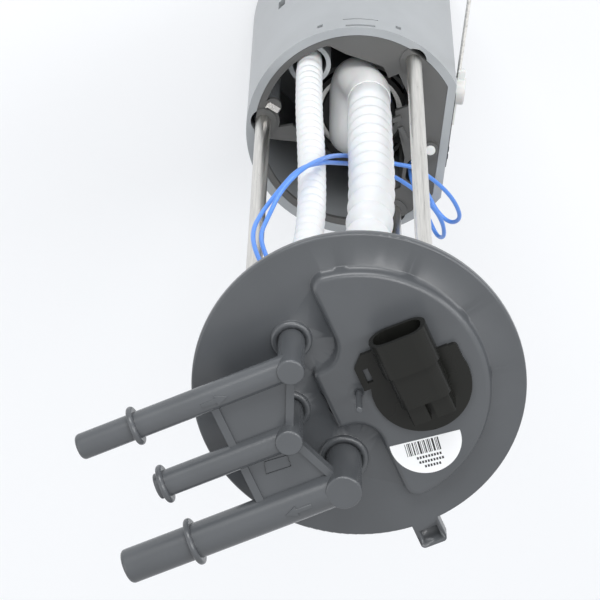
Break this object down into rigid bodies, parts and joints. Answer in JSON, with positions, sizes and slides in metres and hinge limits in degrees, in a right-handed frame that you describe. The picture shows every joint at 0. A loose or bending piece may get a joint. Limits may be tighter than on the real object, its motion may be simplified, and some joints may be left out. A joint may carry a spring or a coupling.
{
  "type": "fuel pump module",
  "caption": "In-tank fuel pump module: round cover with side pipes and plug socket, sprung guide rods, swirl-pot reservoir with pump, hoses and swinging level float.",
  "frame": {"origin": "on the module's axis, on the flat underside of the cover's flange, where it seats on the tank", "axes": "+Z along the module's axis and out of the tank; the three pipes point to -X; the plug socket opens to +Y"},
  "size_m": [0.2215, 0.1608, 0.4105],
  "materials": {
    "cover_grey": "satin",
    "pipe_grey": "satin",
    "socket_black": "fine textured",
    "tin_blade": "tinned",
    "seal_rubber": "smooth",
    "acetal_white": "satin",
    "float_plastic": "satin",
    "spring_steel": "bright drawn wire",
    "reservoir_grey": "satin",
    "deck_grey": "satin",
    "filter_mesh": "fine mesh",
    "pump_steel": "zinc plated",
    "pump_end": "satin",
    "pump_base": "die cast",
    "magnet": "sintered",
    "armature": "lacquered windings on a steel stack",
    "impeller": "moulded phenolic",
    "elbow_white": "smooth",
    "sender_base": "satin",
    "ceramic": "glazed ceramic",
    "contact": "sprung contact",
    "arm_wire": "bright drawn wire",
    "float_foam": "closed-cell nitrile foam",
    "hose_white": "translucent white",
    "wire_blue": "smooth insulation",
    "rod_steel": "ground steel tube",
    "carbon": "sintered carbon"
  },
  "bodies": {
    "cover": {"cover": "cover_grey", "centre_pin": "cover_grey", "pipe_block": "pipe_grey", "connector_shell": "socket_black", "connector_terminals": "tin_blade", "connector_seal": "seal_rubber", "vent_body": "acetal_white", "vent_spring": "spring_steel", "guide_rod_1": "rod_steel", "guide_rod_2": "rod_steel", "guide_rod_3": "rod_steel", "rod_clip_1": "spring_steel", "rod_clip_2": "spring_steel", "rod_clip_3": "spring_steel", "feed_hose": "hose_white", "return_hose": "hose_white", "sender_wire_a": "wire_blue", "sender_wire_b": "wire_blue"},
    "reservoir": {"reservoir_cup": "reservoir_grey", "reservoir_deck": "deck_grey", "deck_plug": "acetal_white", "deck_clip": "spring_steel", "umbrella_valve": "seal_rubber", "strainer": "filter_mesh", "pump_isolator": "seal_rubber", "pump_casing": "pump_steel", "outlet_cap": "pump_end", "inlet_cap": "pump_base", "pump_blades": "tin_blade", "magnets": "magnet", "check_seat": "seal_rubber", "check_cage": "acetal_white", "check_spring": "spring_steel", "feed_elbow": "elbow_white", "sender_plate": "sender_base", "sender_card": "ceramic", "guide_spring_1": "spring_steel", "guide_spring_2": "spring_steel", "guide_spring_3": "spring_steel", "brush_1": "carbon", "brush_spring_1": "spring_steel", "brush_2": "carbon", "brush_spring_2": "spring_steel"},
    "rotor": {"armature": "armature", "impeller": "impeller"},
    "check_poppet": {"check_poppet": "acetal_white"},
    "vent_float": {"vent_float": "float_plastic"},
    "float_arm": {"sender_hub": "acetal_white", "wiper": "contact", "float_arm": "arm_wire", "float_nut": "spring_steel"},
    "level_float": {"level_float": "float_foam"}
  },
  "joints": [
    {"name": "reservoir_slide", "type": "slide", "parent": "cover", "child": "reservoir", "axis": [0, 0, 1], "range_m": [0, 0.05], "stiffness_N_per_m": 400, "springref_m": -0.05, "deforming": ["feed_hose", "return_hose", "sender_wire_a", "sender_wire_b", "guide_spring_1", "guide_spring_2", "guide_spring_3"]},
    {"name": "rotor_spin", "type": "hinge", "parent": "reservoir", "child": "rotor", "pos_m": [-0.0026, -0.0092, -0.327], "axis": [0, 0, 1], "continuous": true},
    {"name": "check_valve_lift", "type": "slide", "parent": "reservoir", "child": "check_poppet", "axis": [0, 0, 1], "range_m": [0, 0.003], "stiffness_N_per_m": 60, "springref_m": -0.004, "deforming": ["check_spring"]},
    {"name": "vent_float_lift", "type": "slide", "parent": "cover", "child": "vent_float", "axis": [0, 0, 1], "range_m": [0, 0.0029], "deforming": ["vent_spring"]},
    {"name": "float_arm_swing", "type": "hinge", "parent": "reservoir", "child": "float_arm", "pos_m": [0.04324, -0.01111, -0.277], "axis": [0.866, -0.5, 0], "range_deg": [-45, 45]},
    {"name": "level_float_turn", "type": "hinge", "parent": "float_arm", "child": "level_float", "pos_m": [0.10554, 0.07301, -0.277], "axis": [0.866, -0.5, 0], "continuous": true}
  ]
}
